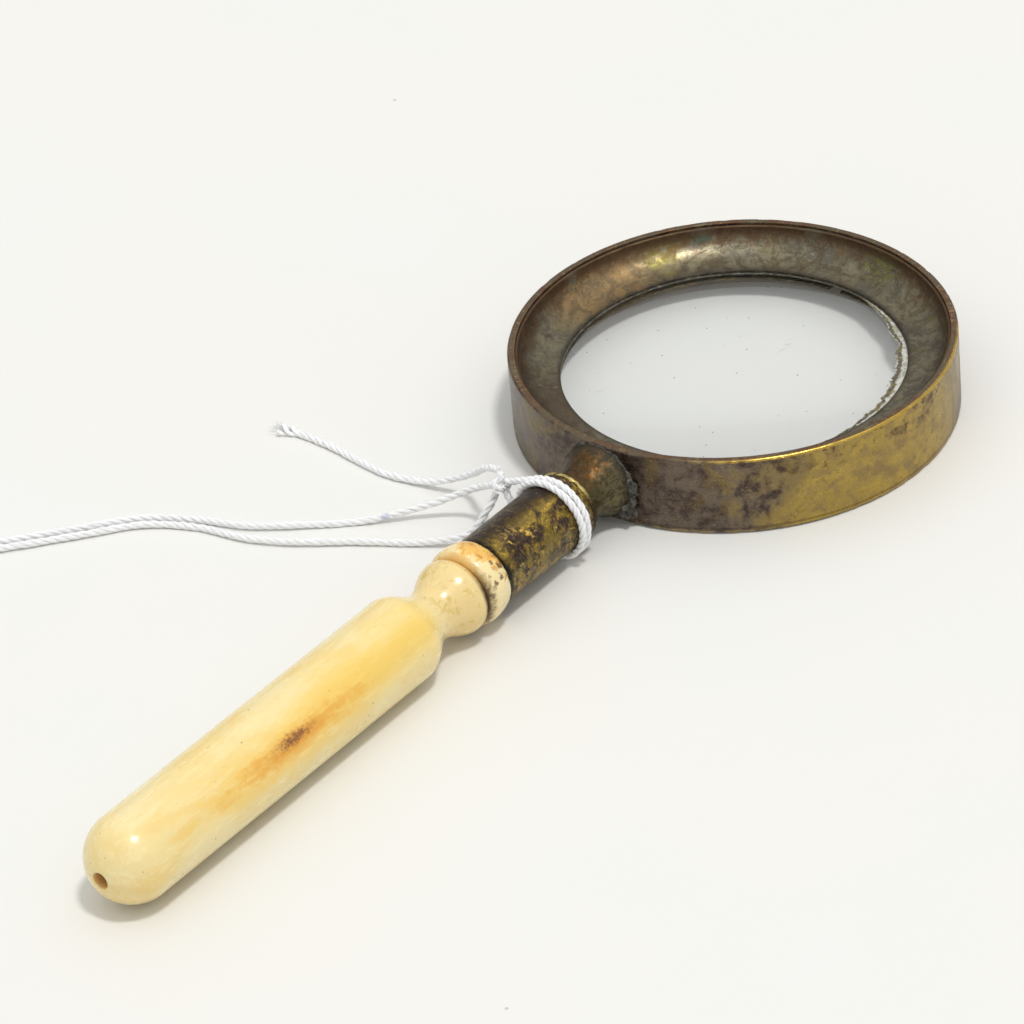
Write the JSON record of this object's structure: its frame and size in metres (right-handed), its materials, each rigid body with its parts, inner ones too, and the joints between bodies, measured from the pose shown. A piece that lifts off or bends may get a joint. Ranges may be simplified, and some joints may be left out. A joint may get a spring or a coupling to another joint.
{
  "type": "magnifying glass",
  "caption": "Hand magnifying glass: round brass rim dished on both faces, clear double-convex lens, and a turned bone handle that unscrews at a brass ferrule tied with string.",
  "frame": {"origin": "centre of the hole in the butt of the handle", "axes": "+X runs along the handle to the lens, +Z points out of the front of the rim along the lens axis"},
  "size_m": [0.163, 0.1056, 0.0122],
  "materials": {
    "brass_band": "worn and tarnished",
    "brass_dark": "dull brown patina",
    "brass_bright": "bare, worn bright",
    "lens_glass": "polished, faintly scratched",
    "bedding": "old cement",
    "solder": "dull grey solder",
    "pitch": "black pitch",
    "bone": "polished bone, stained",
    "cotton": "twisted cotton"
  },
  "bodies": {
    "rim": {"rim_band": "brass_band", "front_bezel": "brass_dark", "lens_bedding": "bedding", "socket_boss": "brass_dark", "boss_solder": "solder", "screw_stud": "brass_bright"},
    "lens": {"lens": "lens_glass"},
    "back_ring": {"back_bezel": "brass_dark"},
    "collar": {"seat_collar": "brass_bright", "string_turns": "cotton", "string_knot": "cotton", "string_lead_1": "cotton", "string_lead_2": "cotton", "string_tail": "cotton", "string_end_knot": "cotton"},
    "handle": {"ferrule": "brass_dark", "ferrule_bush": "brass_bright", "ferrule_pitch": "pitch", "handle_collar": "bone", "handle": "bone"}
  },
  "joints": [
    {"name": "collar_travel", "type": "slide", "parent": "rim", "child": "collar", "axis": [-1, 0, 0], "range_m": [0, 0.008]},
    {"name": "handle_turn", "type": "hinge", "parent": "collar", "child": "handle", "pos_m": [0.09, 0, 0], "axis": [-1, 0, 0], "range_deg": [0, 2880]},
    {"name": "lens_travel", "type": "slide", "parent": "rim", "child": "lens", "axis": [0, 0, -1], "range_m": [0, 0.004]},
    {"name": "ring_turn", "type": "hinge", "parent": "lens", "child": "back_ring", "pos_m": [0.132, 0, 0], "axis": [0, 0, -1], "range_deg": [0, 2880]}
  ],
  "couplings": [
    {"joint": "handle_turn", "follows": "collar_travel", "rad_per_m": 6283.2},
    {"joint": "lens_travel", "follows": "ring_turn", "m_per_rad": 0.000079577}
  ]
}
